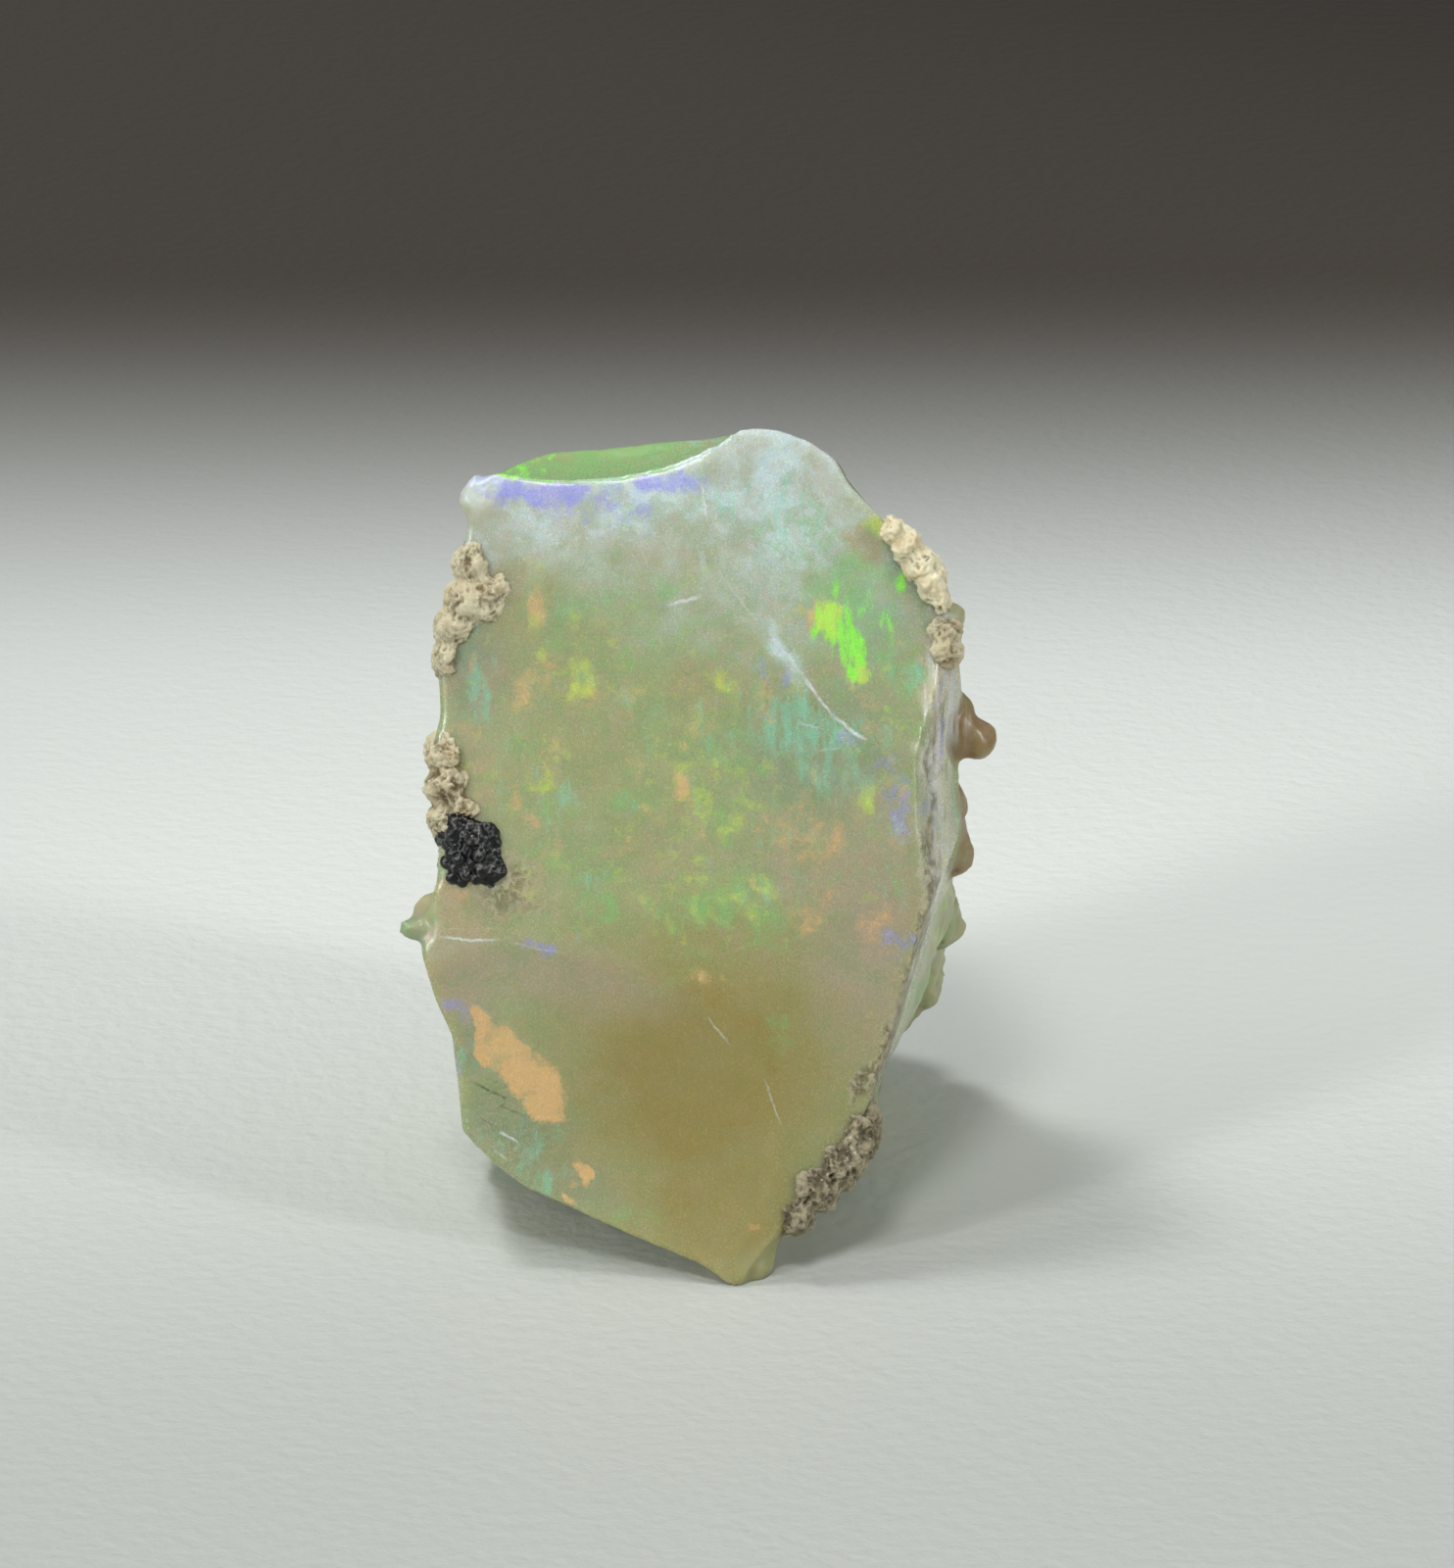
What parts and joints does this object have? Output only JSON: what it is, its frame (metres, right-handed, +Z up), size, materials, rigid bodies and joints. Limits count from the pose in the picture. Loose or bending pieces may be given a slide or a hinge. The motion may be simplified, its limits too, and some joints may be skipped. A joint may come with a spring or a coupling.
{
  "type": "rough opal stone",
  "caption": "Broken piece of translucent play-of-colour opal: broad glassy front, shell-shaped breaks, crusts of host rock along the edges and a flat break that it rests on.",
  "frame": {"origin": "middle of the bounding box, at the level of the ground that the stone rests on", "axes": "+Z up as the stone rests, -Y towards the broad glassy front, +X to the right when the front is faced"},
  "size_m": [0.0112, 0.0123, 0.0149],
  "materials": {
    "opal": "waxy to glassy broken surface, hazy and translucent, with flecks of colour",
    "host_rock": "dull, pitted and grainy crust",
    "black_mineral": "shiny black beads"
  },
  "bodies": {
    "root": {"opal": "opal"}
  },
  "joints": []
}
